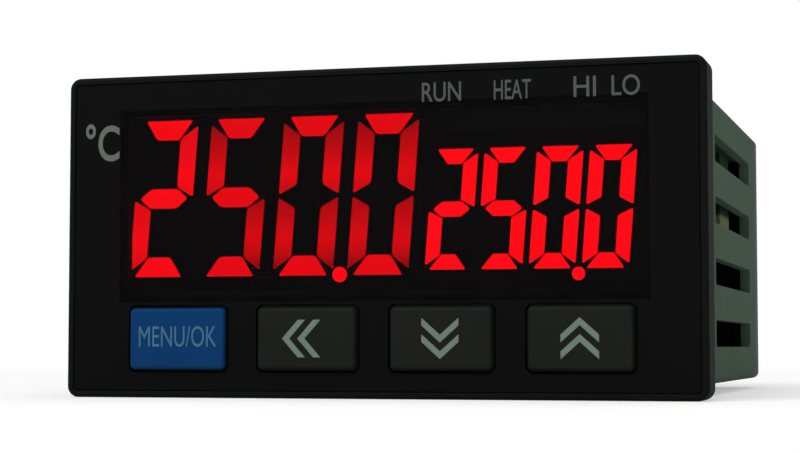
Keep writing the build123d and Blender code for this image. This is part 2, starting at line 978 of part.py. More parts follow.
def make_terminal_block():
    """The rear moulding: plug, plate, barriers between the terminals and two latches each way."""
    plug_width = 2 * (inner_half_width - block_plug_gap)
    plug_height = 2 * (inner_half_height - block_plug_gap)
    plug = Rectangle(plug_width, plug_height)
    rim = plug - Rectangle(plug_width - 2 * block_plug_wall, plug_height - 2 * block_plug_wall)
    block = slab(plug, case_back - block_plate, case_back)
    block += slab(rim, plug_front, case_back)
    block += slab(RectangleRounded(case_width, case_height, case_corner), case_back, block_back)
    block += slab(barrier_comb(), block_back, barrier_back)
    depth = screw_shank_length + screw_gap - clamp_thickness
    passage = Rectangle(tail_width + 2 * tail_gap, tail_thickness + 2 * tail_gap)
    for x, away in terminal_places():
        hole = Pos(x, away * screw_z) * hidden_round(screw_shank_radius + screw_gap)
        block -= slab(hole, block_back - depth, block_back)
        block -= slab(Pos(x, away * tail_z) * passage, case_back - block_plate, block_back)
    for away in (-1, 1):
        block += latch_pair(away, plug_height / 2)
    return block


def make_terminal_clamps():
    """The clamp plates under the screws, each with a tail to its board."""
    clamps = []
    width = terminal_pitch - barrier_thickness - 2 * clamp_side_gap
    inner_z = screw_z - clamp_inner_lap
    outer_z = tail_z + clamp_outer_lap
    for x, away in terminal_places():
        plate = Pos(x, away * (inner_z + outer_z) / 2) * Rectangle(width, outer_z - inner_z)
        plate -= Pos(x, away * screw_z) * hidden_round(screw_shank_radius + screw_gap)
        clamp = slab(plate, block_back, block_back + clamp_thickness)
        tail = Pos(x, away * tail_z) * Rectangle(tail_width, tail_thickness)
        clamps.append(clamp + slab(tail, inner_board_back - tail_lap, block_back))
    return Compound(clamps)


def make_terminal_screws():
    """The terminal screws, one in each clamp."""
    screws = []
    seat = block_back + clamp_thickness
    for x, away in terminal_places():
        middle = Pos(x, away * screw_z)
        screw = slab(middle * small_round(screw_head_radius), seat, seat + screw_head_height)
        screw += slab(middle * hidden_round(screw_shank_radius), seat - screw_shank_length, seat)
        screws.append(screw)
    return Compound(screws)


def make_all():
    """Every piece of the controller, by name."""
    pieces = {
        "front_bezel": make_front_bezel(),
        "front_panel": make_front_panel(),
        "display_window": make_display_window(),
        "panel_gasket": make_panel_gasket(),
        "rear_case": make_rear_case(),
        "key_switch_housings": make_key_switch_housings(),
        "status_leds": make_status_leds(),
        "light_guides": make_light_guides(),
        "display_board": make_display_board(),
        "board_screws": make_board_screws(),
        "driver_chips": make_driver_chips(),
        "board_connectors": make_board_connectors(),
        "power_board": make_inner_board(inner_board_z),
        "main_board": make_inner_board(-inner_board_z),
        "transformer_core": make_transformer_core(),
        "transformer_coil": make_transformer_coil(),
        "film_capacitor": make_film_capacitor(),
        "varistor": make_varistor(),
        "relays": make_relays(),
        "power_capacitors": make_power_capacitors(),
        "processor": make_processor(),
        "signal_chips": make_signal_chips(),
        "crystal": make_crystal(),
        "terminal_block": make_terminal_block(),
        "terminal_clamps": make_terminal_clamps(),
        "terminal_screws": make_terminal_screws(),
    }
    for index, name in enumerate(key_names):
        pieces[name + "_key"] = make_key(index)
        pieces[name + "_plunger"] = make_plunger(index)
    for name, size in (("pv", large_display()), ("sv", small_display())):
        housing, lit, unlit = make_display(size)
        pieces[name + "_display_housing"] = housing
        pieces[name + "_lit_segments"] = lit
        pieces[name + "_unlit_segments"] = unlit
    return pieces


os.makedirs("parts", exist_ok=True)
for node, shape in make_all().items():
    export_step(shape, "parts/" + node + ".step")
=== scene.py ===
import json
import logging
import math
import random
from dataclasses import dataclass
from enum import Enum
from typing import Any, Callable, Iterable

import bmesh
import bpy
from mathutils import Euler, Matrix, Vector


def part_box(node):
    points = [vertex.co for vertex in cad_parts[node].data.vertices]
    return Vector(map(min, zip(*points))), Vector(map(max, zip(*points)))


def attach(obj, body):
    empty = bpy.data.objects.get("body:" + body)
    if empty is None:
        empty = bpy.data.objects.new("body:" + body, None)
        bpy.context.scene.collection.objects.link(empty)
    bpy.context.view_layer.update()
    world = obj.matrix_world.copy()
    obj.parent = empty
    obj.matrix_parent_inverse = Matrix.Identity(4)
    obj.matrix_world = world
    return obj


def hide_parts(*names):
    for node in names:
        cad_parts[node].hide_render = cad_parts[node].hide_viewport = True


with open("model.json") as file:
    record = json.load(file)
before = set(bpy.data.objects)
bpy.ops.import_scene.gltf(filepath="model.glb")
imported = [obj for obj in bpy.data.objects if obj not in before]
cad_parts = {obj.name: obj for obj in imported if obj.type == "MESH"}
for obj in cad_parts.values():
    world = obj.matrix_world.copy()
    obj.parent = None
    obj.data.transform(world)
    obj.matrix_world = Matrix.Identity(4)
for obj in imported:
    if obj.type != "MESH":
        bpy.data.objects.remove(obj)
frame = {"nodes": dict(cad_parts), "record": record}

log = logging.getLogger("controller")

MM = 0.001
MERGE_SIZE = 0.0005 * MM
FLAT_DEGREES = 0.5
Triple = tuple[float, float, float]
Colour = Triple
EVEN: Triple = (1.0, 1.0, 1.0)
WHITE: Colour = (1.0, 1.0, 1.0)
BLACK: Colour = (0.0, 0.0, 0.0)
CONTROLLER = "controller"


class Key(Enum):
    """The four keys, from left to right. The value is the key's name in its nodes."""

    SET = "set"
    SHIFT = "shift"
    DOWN = "down"
    UP = "up"


class Mark(Enum):
    """Which way the chevrons on a key point."""

    LEFT = "left"
    DOWN = "down"
    UP = "up"


class Display(Enum):
    """The two displays. The value is the display's name in its nodes."""

    LARGE = "pv"
    SMALL = "sv"


class Value:
    """A number in a shader: wraps a socket, so that sums on it add their Math nodes."""

    def __init__(self, graph: "Graph", socket: bpy.types.NodeSocket) -> None:
        """Keeps the socket and the graph that it is in."""
        self.graph = graph
        self.socket = socket

    def math(self, operation: str, *operands: Any) -> "Value":
        """Adds one Math node.

        Args:
            operation: the Math node's operation.
            operands: numbers or values, in the order of its sockets.

        Returns:
            The node's result.
        """
        inputs = dict(enumerate(operands))
        node = self.graph.add("ShaderNodeMath", {"operation": operation}, inputs)
        return Value(self.graph, node.outputs[0])

    def __add__(self, other: Any) -> "Value":
        """This plus another."""
        return self.math("ADD", self, other)

    def __radd__(self, other: Any) -> "Value":
        """Another plus this."""
        return self.math("ADD", other, self)

    def __sub__(self, other: Any) -> "Value":
        """This less another."""
        return self.math("SUBTRACT", self, other)

    def __rsub__(self, other: Any) -> "Value":
        """Another less this."""
        return self.math("SUBTRACT", other, self)

    def __mul__(self, other: Any) -> "Value":
        """This times another."""
        return self.math("MULTIPLY", self, other)

    def __rmul__(self, other: Any) -> "Value":
        """Another times this."""
        return self.math("MULTIPLY", other, self)

    def __truediv__(self, other: Any) -> "Value":
        """This divided by another."""
        return self.math("DIVIDE", self, other)

    def __gt__(self, other: Any) -> "Value":
        """1 where this is the greater, and 0 elsewhere."""
        return self.math("GREATER_THAN", self, other)

    def __lt__(self, other: Any) -> "Value":
        """1 where this is the lesser, and 0 elsewhere."""
        return self.math("LESS_THAN", self, other)

    def __abs__(self) -> "Value":
        """This without its sign."""
        return self.math("ABSOLUTE", self)

    def most(self, other: Any) -> "Value":
        """The greater of this and another."""
        return self.math("MAXIMUM", self, other)

    def rounded(self) -> "Value":
        """The nearest whole number."""
        return self.math("ROUND", self)

    def root(self) -> "Value":
        """The square root of this."""
        return self.math("SQRT", self)

    def ramp(self, low: float, high: float) -> "Value":
        """Rises smoothly from 0 at one number to 1 at another.

        Args:
            low: where it is still 0.
            high: where it has reached 1.

        Returns:
            The share between them.
        """
        inputs = {"Value": self, "From Min": low, "From Max": high}
        node = self.graph.add("ShaderNodeMapRange", {"interpolation_type": "SMOOTHSTEP"}, inputs)
        return Value(self.graph, node.outputs[0])


class Graph:
    """The node tree of one material, or of the world."""

    def __init__(self, owner: bpy.types.Material | bpy.types.World) -> None:
        """Takes over a node tree and empties it.

        Args:
            owner: the material or the world that the tree belongs to.
        """
        owner.use_nodes = True
        self.owner = owner
        self.tree = owner.node_tree
        self.tree.nodes.clear()
        self.place: bpy.types.Node | None = None

    @classmethod
    def named(cls, name: str) -> "Graph":
        """Starts a new material of that name."""
        return cls(bpy.data.materials.new(name))

    def add(self, kind: str, settings: dict[str, Any] | None = None,
            inputs: dict[Any, Any] | None = None) -> bpy.types.Node:
        """Adds any node.

        Args:
            kind: the node's type.
            settings: its properties, such as operation, set first.
            inputs: what each socket gets, by name or number: a number, a colour or a link.

        Returns:
            The node.
        """
        node = self.tree.nodes.new(kind)
        for key, setting in (settings or {}).items():
            if key == "stops":
                self.set_stops(node.color_ramp, setting)
            else:
                setattr(node, key, setting)
        for key, given in (inputs or {}).items():
            socket = node.inputs[key]
            if isinstance(given, Value):
                self.tree.links.new(given.socket, socket)
            elif isinstance(given, bpy.types.NodeSocket):
                self.tree.links.new(given, socket)
            elif isinstance(given, tuple) and len(given) == 3 and socket.type == "RGBA":
                socket.default_value = (*given, 1.0)
            else:
                socket.default_value = given
        return node

    @staticmethod
    def set_stops(ramp: bpy.types.ColorRamp, stops: tuple[tuple[float, float], ...]) -> None:
        """Gives a ramp its stops.

        Args:
            ramp: the ramp.
            stops: places from 0 to 1, each with a grey level.
        """
        while len(ramp.elements) < len(stops):
            ramp.elements.new(1.0)
        for element, (place, level) in zip(ramp.elements, stops):
            element.position = place
            element.color = (level, level, level, 1.0)

    def coordinates(self) -> bpy.types.NodeSocket:
        """Gives the Object coordinates, from one node for the whole tree.

        Returns:
            The socket of the coordinates, in metres.
        """
        if self.place is None:
            self.place = self.add("ShaderNodeTexCoord")
        return self.place.outputs["Object"]

    def axes(self) -> tuple[Value, Value, Value]:
        """The three Object coordinates, one by one."""
        split = self.add("ShaderNodeSeparateXYZ", None, {0: self.coordinates()})
        return tuple(Value(self, split.outputs[index]) for index in range(3))

    def noise(self, size: float, detail: float, stretch: Triple = EVEN) -> Value:
        """A noise from 0 to 1.

        Args:
            size: the size of its blobs, in metres.
            detail: how many finer layers it has.
            stretch: how many times finer it is along each axis.

        Returns:
            The noise.
        """
        mapped = self.add("ShaderNodeMapping", None, {"Vector": self.coordinates(), "Scale": stretch})
        inputs = {"Vector": mapped.outputs[0], "Scale": 1.0 / size, "Detail": detail}
        return Value(self, self.add("ShaderNodeTexNoise", None, inputs).outputs[0])

    def mix(self, share: Any, first: Any, second: Any) -> bpy.types.NodeSocket:
        """A colour that goes from one to another with a share."""
        node = self.add("ShaderNodeMix", {"data_type": "RGBA"}, {0: share, 6: first, 7: second})
        return node.outputs[2]

    def seen(self) -> Value:
        """Tells what the camera sees, straight, in a gloss or through a clear piece, from other light.

        Returns:
            1 for what it sees, and 0 for the rest.
        """
        path = self.add("ShaderNodeLightPath")
        share = Value(self, path.outputs["Is Camera Ray"])
        for ray in ("Is Glossy Ray", "Is Transmission Ray"):
            share = share.most(Value(self, path.outputs[ray]))
        return share

    def bump(self, height: Value, depth: float, strength: float) -> bpy.types.NodeSocket:
        """A bumped normal, of a depth in metres."""
        inputs = {"Height": height, "Distance": depth, "Strength": strength}
        return self.add("ShaderNodeBump", None, inputs).outputs[0]

    def surface(self, shader: bpy.types.NodeSocket) -> bpy.types.Material:
        """Ends the tree with a shader.

        Args:
            shader: the shader's output socket.

        Returns:
            The material.
        """
        self.add("ShaderNodeOutputMaterial", None, {"Surface": shader})
        return self.owner

    def principled(self, inputs: dict[str, Any]) -> bpy.types.Material:
        """Ends the tree with a Principled shader.

        Args:
            inputs: what its sockets get.

        Returns:
            The material.
        """
        return self.surface(self.add("ShaderNodeBsdfPrincipled", None, inputs).outputs[0])


def scaled(colour: Colour, factor: float) -> Colour:
    """A colour made lighter or darker by a factor."""
    return tuple(min(1.0, part * factor) for part in colour)


@dataclass(frozen=True)
class Tone:
    """A second colour, which takes over along one of the three axes."""

    colour: Colour
    axis: int
    start: float
    end: float


@dataclass(frozen=True)
class Moulding:
    """A moulded or printed surface: faint mottling, a fine grain and an uneven sheen."""

    name: str
    colour: Colour
    roughness: float = 0.55
    specular: float = 0.3
    mottle: float = 0.12
    mottle_size: float = 9 * MM
    mottle_detail: float = 4.0
    grain_size: float = 0.35 * MM
    grain_detail: float = 2.0
    grain_depth: float = 0.02 * MM
    grain_strength: float = 0.35
    roughness_swing: float = 0.10
    tone: Tone | None = None

    def material(self) -> bpy.types.Material:
        """Makes the material.

        Returns:
            The material.
        """
        graph = Graph.named(self.name)
        cloud = graph.noise(self.mottle_size, self.mottle_detail)
        grain = graph.noise(self.grain_size, self.grain_detail)
        colour = graph.mix(cloud, scaled(self.colour, 1 - self.mottle), scaled(self.colour, 1 + self.mottle))
        if self.tone is not None:
            share = graph.axes()[self.tone.axis].ramp(self.tone.start, self.tone.end)
            colour = graph.mix(share, colour, self.tone.colour)
        low = self.roughness - self.roughness_swing / 2
        return graph.principled({
            "Base Color": colour,
            "Roughness": low + cloud * (self.roughness_swing / 2) + grain * (self.roughness_swing / 2),
            "Specular IOR Level": self.specular,
            "Normal": graph.bump(grain, self.grain_depth, self.grain_strength),
        })


@dataclass(frozen=True)
class PlatedMetal:
    """Plated metal with fine drawn lines and dull patches."""

    name: str
    colour: Colour
    roughness: float = 0.3
    line_size: float = 0.25 * MM
    line_detail: float = 2.0
    line_stretch: Triple = (1.0, 6.0, 1.0)
    line_depth: float = 0.01 * MM
    line_strength: float = 0.3
    line_roughness: float = 0.08
    patch_size: float = 2.5 * MM
    patch_detail: float = 3.0
    patch_roughness: float = 0.2
    dull: float = 0.8
    bright: float = 1.1

    def material(self) -> bpy.types.Material:
        """Makes the material.

        Returns:
            The material.
        """
        graph = Graph.named(self.name)
        lines = graph.noise(self.line_size, self.line_detail, self.line_stretch)
        patches = graph.noise(self.patch_size, self.patch_detail)
        dark = scaled(self.colour, self.dull)
        light = scaled(self.colour, self.bright)
        return graph.principled({
            "Base Color": graph.mix(patches, dark, light),
            "Metallic": 1.0,
            "Roughness": self.roughness + patches * self.patch_roughness + lines * self.line_roughness,
            "Normal": graph.bump(lines, self.line_depth, self.line_strength),
        })


@dataclass(frozen=True)
class Laminate:
    """A printed board: solder mask over copper tracks that show faintly."""

    name: str
    mask: Colour
    track: Colour
    track_pitch: float = 1.6 * MM
    track_length: float = 4.0
    track_offset: float = 0.37
    track_gap: float = 0.1
    track_depth: float = 0.035 * MM
    track_strength: float = 0.6
    cloud_size: float = 6 * MM
    cloud_detail: float = 2.0
    bare_below: float = 0.42
    roughness: float = 0.32
    roughness_swing: float = 0.12

    def material(self) -> bpy.types.Material:
        """Makes the material.

        Returns:
            The material.
        """
        graph = Graph.named(self.name)
        inputs = {
            "Vector": graph.coordinates(),
            "Scale": 1.0 / self.track_pitch,
            "Mortar Size": self.track_gap,
            "Brick Width": self.track_length,
            "Row Height": 1.0,
        }
        rows = graph.add("ShaderNodeTexBrick", {"offset": self.track_offset}, inputs)
        cloud = graph.noise(self.cloud_size, self.cloud_detail)
        tracks = Value(graph, rows.outputs["Fac"]) * (cloud > self.bare_below)
        return graph.principled({
            "Base Color": graph.mix(tracks, self.mask, self.track),
            "Roughness": self.roughness + cloud * self.roughness_swing,
            "Normal": graph.bump(tracks, self.track_depth, self.track_strength),
        })


@dataclass(frozen=True)
class SmokedFilter:
    """The dark see-through filter in front of the displays."""

    name: str = "smoked_filter"
    colour: Colour = (0.0062, 0.0054, 0.0057)
    alpha: float = 0.5
    roughness: float = 0.6
    roughness_swing: float = 0.06
    specular: float = 0.0
    cloud_size: float = 14 * MM
    cloud_detail: float = 3.0
    cloud_swing: float = 0.15

    def material(self) -> bpy.types.Material:
        """Makes the material.

        Returns:
            The material.
        """
        graph = Graph.named(self.name)
        cloud = graph.noise(self.cloud_size, self.cloud_detail)
        dark = scaled(self.colour, 1 - self.cloud_swing)
        light = scaled(self.colour, 1 + self.cloud_swing)
        return graph.principled({
            "Base Color": graph.mix(cloud, dark, light),
            "Roughness": self.roughness + cloud * self.roughness_swing,
            "Specular IOR Level": self.specular,
            "Alpha": self.alpha,
        })


@dataclass(frozen=True)
class DigitRow:
    """The sizes of one display's digits."""

    display: Display
    pitch: float
    width: float
    height: float
    side: float
    bar: float
    first_digit_fade: float
    bar_level: float
    levels: tuple[tuple[float, float], ...]
    lean: float = math.tan(math.radians(4.4))
    digits: int = 4


@dataclass(frozen=True)
class LitEpoxy:
    """Lit segments: full brightness on the bars, and uprights that dim toward their ends."""

    row: DigitRow
    colour: Colour = (1.0, 0.0, 0.004)
    strength: float = 4.2
    blend: float = 0.12 * MM
    dot_overlap: float = 0.06 * MM
    dot_top: float = 1.3 * MM
    speckle: float = 0.12
    speck_size: float = 1.6 * MM
    speck_detail: float = 3.0
    body_dark: Colour = (0.20, 0.0, 0.003)
    body_light: Colour = (0.30, 0.0, 0.005)
    roughness: float = 0.4
    specular: float = 0.05

    def level(self, graph: Graph) -> Value:
        """Works out how brightly each place shines, from where it lies in its digit.

        Args:
            graph: the material's node tree.

        Returns:
            The level, from 0 to 1.
        """
        row = self.row
        low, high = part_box(row.display.value + "_display_housing")
        middle = (low + high) / 2
        x, _, z = graph.axes()
        rise = z - middle.z
        first_x = middle.x - (row.digits - 1) / 2 * row.pitch
        across = (x - rise * row.lean - first_x) / row.pitch
        digit = across.rounded()
        inward = row.width / 2 - abs(across - digit) * row.pitch
        height = abs(rise)
        below_bar = (row.height / 2 - height) - inward * (row.bar / row.side)
        above_middle = height - inward * (row.bar / 2 / row.side)
        upright = below_bar.ramp(0.0, self.blend) * above_middle.ramp(0.0, self.blend)
        fade = 1 - (digit < 0.5) * (1 - row.first_digit_fade)
        share = rise / row.height + 0.5
        curve = graph.add("ShaderNodeValToRGB", {"stops": row.levels}, {0: share})
        glow = Value(graph, curve.outputs[0])
        dot = (inward < self.dot_overlap) * (rise < self.dot_top - row.height / 2)
        dimming = upright * (1 - glow) + (1 - upright) * (1 - row.bar_level)
        return (1 - fade * dimming).most(dot)

    def material(self) -> bpy.types.Material:
        """Makes the material.

        Returns:
            The material.
        """
        graph = Graph.named(self.row.display.value + "_lit")
        level = self.level(graph)
        speck = graph.noise(self.speck_size, self.speck_detail)
        even = 1 - self.speckle / 2
        return graph.principled({
            "Base Color": graph.mix(speck, self.body_dark, self.body_light),
            "Roughness": self.roughness,
            "Specular IOR Level": self.specular,
            "Emission Color": graph.mix(level * (even + speck * self.speckle), BLACK, self.colour),
            "Emission Strength": self.strength,
        })


@dataclass(frozen=True)
class Ink:
    """A printed mark, a little uneven in cover."""

    name: str
    colour: Colour
    cover_size: float = 0.5 * MM
    cover_detail: float = 3.0
    thin: float = 0.82
    thick: float = 1.12
    roughness: float = 0.5
    roughness_swing: float = 0.1
    specular: float = 0.2

    def material(self) -> bpy.types.Material:
        """Makes the material.

        Returns:
            The material.
        """
        graph = Graph.named(self.name)
        cover = graph.noise(self.cover_size, self.cover_detail)
        return graph.principled({
            "Base Color": graph.mix(cover, scaled(self.colour, self.thin), scaled(self.colour, self.thick)),
            "Roughness": self.roughness + cover * self.roughness_swing,
            "Specular IOR Level": self.specular,
        })


def new_object(name: str, fill: Callable[[bmesh.types.BMesh], None], material: bpy.types.Material,
               smooth_angle: float = 32.0) -> bpy.types.Object:
    """Makes a piece from a mesh-filling function.

    Args:
        name: the piece's name.
        fill: builds the piece's shape, in its place, in the mesh that it is given.
        material: the piece's finish.
        smooth_angle: edges that turn by more than this many degrees stay sharp.

    Returns:
        The object, at the origin.
    """
    bm = bmesh.new()
    fill(bm)
    shade(bm, smooth_angle)
    mesh = bpy.data.meshes.new(name)
    bm.to_mesh(mesh)
    bm.free()
    piece = bpy.data.objects.new(name, mesh)
    bpy.context.scene.collection.objects.link(piece)
    mesh.materials.append(material)
    return piece


def shade(bm: bmesh.types.BMesh, smooth_angle: float) -> None:
    """Smooths a mesh's faces and marks the edges that turn sharply.

    Args:
        bm: the mesh.
        smooth_angle: edges that turn by more than this many degrees stay sharp.
    """
    limit = math.radians(smooth_angle)
    for face in bm.faces:
        face.smooth = True
    for edge in bm.edges:
        edge.smooth = edge.calc_face_angle(math.pi) < limit


def level_normals(piece: bpy.types.Object) -> None:
    """Keeps wide flat faces flat in the light, beside the small faces of their rounded edges."""
    finish = piece.modifiers.new("level_normals", "WEIGHTED_NORMAL")
    finish.keep_sharp = True


def bevel(bm: bmesh.types.BMesh, edges: Iterable[bmesh.types.BMEdge], width: float, segments: int) -> None:
    """Bevels edges to an even rounding.

    Args:
        bm: the mesh.
        edges: the edges.
        width: how far the rounding reaches from each edge.
        segments: how many strips it has.
    """
    bmesh.ops.bevel(
        bm, geom=list(edges), offset=width, offset_type="OFFSET", segments=segments, profile=0.5,
        affect="EDGES", clamp_overlap=True, material=-1,
    )


def box_in(bm: bmesh.types.BMesh, low: Vector, high: Vector) -> None:
    """Adds a box.

    Args:
        bm: the mesh that gets it.
        low: its lowest corner.
        high: its highest corner.
    """
    place = Matrix.Translation((low + high) / 2) @ Matrix.Diagonal((*(high - low), 1.0))
    bmesh.ops.create_cube(bm, size=1.0, matrix=place)


def copy_node(bm: bmesh.types.BMesh, node: str) -> None:
    """Copies a node's mesh, merges its loose triangles and joins those that lie flat.

    Args:
        bm: the mesh that gets the copy.
        node: the node's name.
    """
    bm.from_mesh(frame["nodes"][node].data)
    bmesh.ops.remove_doubles(bm, verts=bm.verts, dist=MERGE_SIZE)
    bmesh.ops.dissolve_limit(bm, angle_limit=math.radians(FLAT_DEGREES), verts=bm.verts, edges=bm.edges)


@dataclass
class SoftenedNode:
    """A piece that repeats a node's solid with its sharp edges rounded, as they leave the mould."""

    node: str
    slot: str
    round_size: float
    segments: int = 2
    sharp_angle: float = 35.0
    body: str = CONTROLLER

    def fill(self, bm: bmesh.types.BMesh) -> None:
        """Copies the node's mesh and rounds its sharp edges.

        Args:
            bm: the mesh that gets the shape.
        """
        copy_node(bm, self.node)
        limit = math.radians(self.sharp_angle)
        sharp = [edge for edge in bm.edges if edge.is_manifold and edge.calc_face_angle(0.0) > limit]
        bevel(bm, sharp, self.round_size, self.segments)

    def build(self, material: bpy.types.Material) -> None:
        """Makes the piece, which stands for the node.

        Args:
            material: its finish.
        """
        piece = new_object(self.node + "_moulding", self.fill, material)
        level_normals(piece)
        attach(piece, self.body)
        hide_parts(self.node)
        log.info("%s: %d faces", piece.name, len(piece.data.polygons))


@dataclass
class Segments:
    """One display's lit or unlit segments, with the rounded corners of cast epoxy."""

    node: str
    slot: str
    tip: float
    corner: float
    mitre_growth: float = 0.10 * MM
    lift: float = 0.02 * MM
    mitre_slope: float = 0.2
    tip_angle: float = 90.0
    tip_segments: int = 5
    corner_angle: float = 35.0
    corner_segments: int = 4
    dot_edge: float = 0.12 * MM
    dot_angle: float = 28.0
    dot_segments: int = 1

    def fill(self, bm: bmesh.types.BMesh) -> None:
        """Copies the node's solids, lengthens them and rounds their tips, their corners and the dots.

        Args:
            bm: the mesh that gets the shape.
        """
        copy_node(bm, self.node)
        bm.normal_update()
        self.grow_mitres(bm)
        bmesh.ops.translate(bm, verts=bm.verts, vec=(0.0, -self.lift, 0.0))
        dots = self.edges_between(bm, self.dot_angle, self.corner_angle)
        bevel(bm, dots, self.dot_edge, self.dot_segments)
        tips = self.edges_between(bm, self.tip_angle, 180.0)
        bevel(bm, tips, self.tip, self.tip_segments)
        corners = self.edges_between(bm, self.corner_angle, self.tip_angle)
        bevel(bm, corners, self.corner, self.corner_segments)
        bmesh.ops.remove_doubles(bm, verts=bm.verts, dist=MERGE_SIZE)

    def grow_mitres(self, bm: bmesh.types.BMesh) -> None:
        """Moves the mitred ends outward, which leaves thin dark lines between the segments.

        Args:
            bm: the mesh that holds the segments.
        """
        for edge in self.edges_between(bm, self.corner_angle, 180.0):
            normals = [face.normal for face in edge.link_faces]
            mitred = [min(abs(normal.x), abs(normal.z)) > self.mitre_slope for normal in normals]
            rows = Matrix([(normal.x, normal.z) for normal in normals])
            move = rows.inverted() @ Vector([self.mitre_growth * end for end in mitred])
            bmesh.ops.translate(bm, verts=edge.verts, vec=(move.x, 0.0, move.y))

    @staticmethod
    def edges_between(bm: bmesh.types.BMesh, low: float, high: float) -> list[bmesh.types.BMEdge]:
        """Finds the edges that run back and turn by an angle between two limits.

        Args:
            bm: the mesh.
            low: the least turn, in degrees.
            high: the most.

        Returns:
            The edges.
        """
        found = []
        for edge in bm.edges:
            run = edge.verts[0].co - edge.verts[1].co
            turn = math.degrees(edge.calc_face_angle(0.0))
            if abs(run.y) > 0.9 * run.length and low < turn < high:
                found.append(edge)
        return found

    def build(self, material: bpy.types.Material) -> None:
        """Makes the piece.

        Args:
            material: its finish.
        """
        piece = new_object(self.node + "_epoxy", self.fill, material)
        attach(piece, CONTROLLER)
        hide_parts(self.node)
        log.info("%s: %d faces", piece.name, len(piece.data.polygons))


@dataclass
class Keycap:
    """One key: a bevelled cap on a wider skirt, with ears behind the panel and a stem to its switch."""

    key: Key
    step: float = 0.22 * MM
    skirt_front: float = -6.3 * MM
    corner: float = 0.9 * MM
    bevel_width: float = 0.55 * MM
    face_drop: float = 0.03 * MM
    wall: float = 1.2 * MM
    stem_radius: float = 1.6 * MM
    ear_reach: float = 1.0 * MM
    ear_depth: float = 0.8 * MM
    ear_inset: float = 0.9 * MM
    skirt_back: float = -2.75 * MM
    corner_segments: int = 5
    bevel_segments: int = 3
    stem_sides: int = 24
    smooth_angle: float = 40.0

    def __post_init__(self) -> None:
        """Reads the cap's place from its node."""
        low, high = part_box(self.key.value + "_key")
        self.low = Vector((low.x + self.ear_reach, low.y + self.face_drop, low.z))
        self.high = Vector((high.x - self.ear_reach, self.skirt_back, high.z))
        self.tip = high.y
        self.middle = (low + high) / 2

    def fill(self, bm: bmesh.types.BMesh) -> None:
        """Builds the skirt, hollow behind, and the cap, the ears and the stem.

        Args:
            bm: the mesh that gets the shape.
        """
        box_in(bm, Vector((self.low.x, self.skirt_front, self.low.z)), self.high)
        uprights = [edge for edge in bm.edges if abs((edge.verts[0].co - edge.verts[1].co).y) > self.wall]
        bevel(bm, uprights, self.corner, self.corner_segments)
        front = min(bm.faces, key=lambda face: face.calc_center_median().y)
        bmesh.ops.inset_region(bm, faces=[front], thickness=self.step, use_even_offset=True)
        raised = bmesh.ops.extrude_discrete_faces(bm, faces=[front])["faces"][0]
        bmesh.ops.translate(bm, verts=raised.verts, vec=(0.0, self.low.y - self.skirt_front, 0.0))
        bevel(bm, raised.edges, self.bevel_width, self.bevel_segments)
        back = max(bm.faces, key=lambda face: face.calc_center_median().y)
        bmesh.ops.inset_region(bm, faces=[back], thickness=self.wall, use_even_offset=True)
        hollow = bmesh.ops.extrude_discrete_faces(bm, faces=[back])["faces"]
        depth = self.low.y + self.wall - self.skirt_back
        bmesh.ops.translate(bm, verts=hollow[0].verts, vec=(0.0, depth, 0.0))
        self.add_ears(bm)
        self.add_stem(bm)

    def add_ears(self, bm: bmesh.types.BMesh) -> None:
        """Adds the ear on each side, behind the panel's floor.

        Args:
            bm: the mesh that gets them.
        """
        for side, edge in ((-1, self.low.x), (1, self.high.x)):
            ends = sorted((edge + side * self.ear_reach, edge - side * self.wall / 2))
            box_in(
                bm,
                Vector((ends[0], self.skirt_back - self.ear_depth, self.low.z + self.ear_inset)),
                Vector((ends[1], self.skirt_back, self.high.z - self.ear_inset)),
            )

    def add_stem(self, bm: bmesh.types.BMesh) -> None:
        """Adds the stem that presses the switch.

        Args:
            bm: the mesh that gets it.
        """
        length = self.tip - self.low.y - self.wall / 2
        place = Matrix.Translation((self.middle.x, self.tip - length / 2, self.middle.z))
        turn = Matrix.Rotation(math.radians(90), 4, "X")
        bmesh.ops.create_cone(
            bm, cap_ends=True, segments=self.stem_sides, radius1=self.stem_radius,
            radius2=self.stem_radius, depth=length, matrix=place @ turn,
        )

    def build(self, material: bpy.types.Material, slot: str) -> None:
        """Makes the key, which stands for its node.

        Args:
            material: its finish.
            slot: the record's slot for that finish; not used.
        """
        name = self.key.value + "_key"
        piece = new_object(name + "_cap", self.fill, material, self.smooth_angle)
        level_normals(piece)
        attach(piece, "key_" + self.key.value)
        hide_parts(name)
        log.info("%s: %d faces", piece.name, len(piece.data.polygons))


